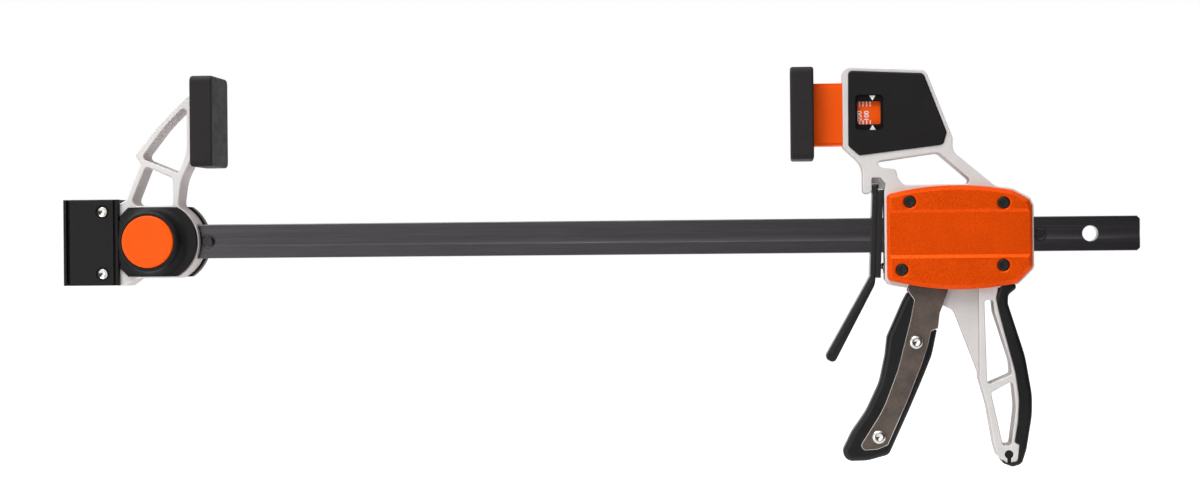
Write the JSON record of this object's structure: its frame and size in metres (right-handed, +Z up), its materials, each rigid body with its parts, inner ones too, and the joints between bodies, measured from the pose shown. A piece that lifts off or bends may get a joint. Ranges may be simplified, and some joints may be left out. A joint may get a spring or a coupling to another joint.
{
  "type": "quick release bar clamp",
  "caption": "One-handed bar clamp: fixed jaw on a flat steel bar, sliding head with squeeze trigger, release lever, rear handle and a spring gauge behind the moving pad.",
  "frame": {"origin": "centre of the spare lock hole near the bar's rear end, in the bar's middle plane", "axes": "+X along the bar towards that end, +Z up along the jaws, -Y out of the side with the button and the gauge's window"},
  "size_m": [0.5971, 0.0405, 0.2193],
  "materials": {
    "bar_steel": "satin, blued",
    "pin_steel": "satin",
    "cast_aluminium": "satin, fine cast",
    "pad_plastic": "matt moulded",
    "black_plastic": "fine matt texture",
    "black_screws": "black oxide",
    "rivet_steel": "polished",
    "orange_plastic": "satin moulded",
    "spring_steel": "drawn wire",
    "orange_anodised": "bead blasted, anodised",
    "grip_rubber": "matt moulded",
    "scale_print": "printed strip",
    "trigger_steel": "browned, satin",
    "nylon": "moulded",
    "plate_steel": "hardened, ground",
    "lever_steel": "black oxide"
  },
  "bodies": {
    "bar_and_fixed_jaw": {"bar": "bar_steel", "front_stop_pin": "pin_steel", "rear_stop_pin": "pin_steel", "fixed_jaw_frame": "cast_aluminium", "fixed_pad": "pad_plastic", "jaw_front_cover": "black_plastic", "jaw_rear_cover": "black_plastic", "jaw_cover_screws": "black_screws", "coupling_block": "black_plastic", "coupling_rivets": "rivet_steel", "button_spring": "spring_steel"},
    "lock_button": {"push_button": "orange_plastic", "lock_yoke": "pin_steel", "lock_pin": "pin_steel"},
    "sliding_head": {"head_casting": "cast_aluminium", "front_cover": "orange_anodised", "rear_cover": "orange_anodised", "front_cover_screws": "black_screws", "rear_cover_screws": "black_screws", "jaw_front_panel": "black_plastic", "jaw_rear_panel": "black_plastic", "handle_grip": "grip_rubber", "gauge_stop_pin": "pin_steel", "trigger_pin": "pin_steel", "plunger_spring": "spring_steel", "drive_spring": "spring_steel", "brake_spring": "spring_steel"},
    "gauge_plunger": {"plunger": "orange_plastic", "moving_pad": "pad_plastic", "gauge_scale": "scale_print"},
    "trigger": {"trigger_cheek_front": "trigger_steel", "trigger_cheek_rear": "trigger_steel", "trigger_core": "nylon", "trigger_grip": "grip_rubber", "trigger_rivets": "rivet_steel"},
    "drive_plates": {"drive_plate_1": "plate_steel", "drive_plate_2": "plate_steel"},
    "brake_lever": {"release_lever": "lever_steel", "brake_plate": "lever_steel"}
  },
  "joints": [
    {"name": "button_push", "type": "slide", "parent": "bar_and_fixed_jaw", "child": "lock_button", "axis": [0, 1, 0], "range_m": [0, 0.0046], "stiffness_N_per_m": 1500, "springref_m": -0.003, "deforming": ["button_spring"]},
    {"name": "head_slide", "type": "slide", "parent": "bar_and_fixed_jaw", "child": "sliding_head", "axis": [1, 0, 0], "range_m": [-0.3202, 0]},
    {"name": "plunger_slide", "type": "slide", "parent": "sliding_head", "child": "gauge_plunger", "axis": [1, 0, 0], "range_m": [0, 0.012], "stiffness_N_per_m": 18000, "springref_m": -0.001, "deforming": ["plunger_spring"]},
    {"name": "trigger_squeeze", "type": "hinge", "parent": "sliding_head", "child": "trigger", "pos_m": [-0.084, 0, 0.015], "axis": [0, -1, 0], "range_deg": [0, 17.5], "stiffness_Nm_per_rad": 1.5, "springref_deg": -8.59},
    {"name": "drive_slide", "type": "slide", "parent": "sliding_head", "child": "drive_plates", "axis": [1, 0, 0], "range_m": [0, 0.0089], "deforming": ["drive_spring"]},
    {"name": "brake_release", "type": "hinge", "parent": "sliding_head", "child": "brake_lever", "pos_m": [-0.1166, 0, 0.027], "axis": [0, -1, 0], "range_deg": [0, 2.1], "stiffness_Nm_per_rad": 2, "springref_deg": -5.73, "deforming": ["brake_spring"]}
  ],
  "couplings": [
    {"joint": "drive_slide", "follows": "trigger_squeeze", "m_per_rad": 0.028}
  ]
}
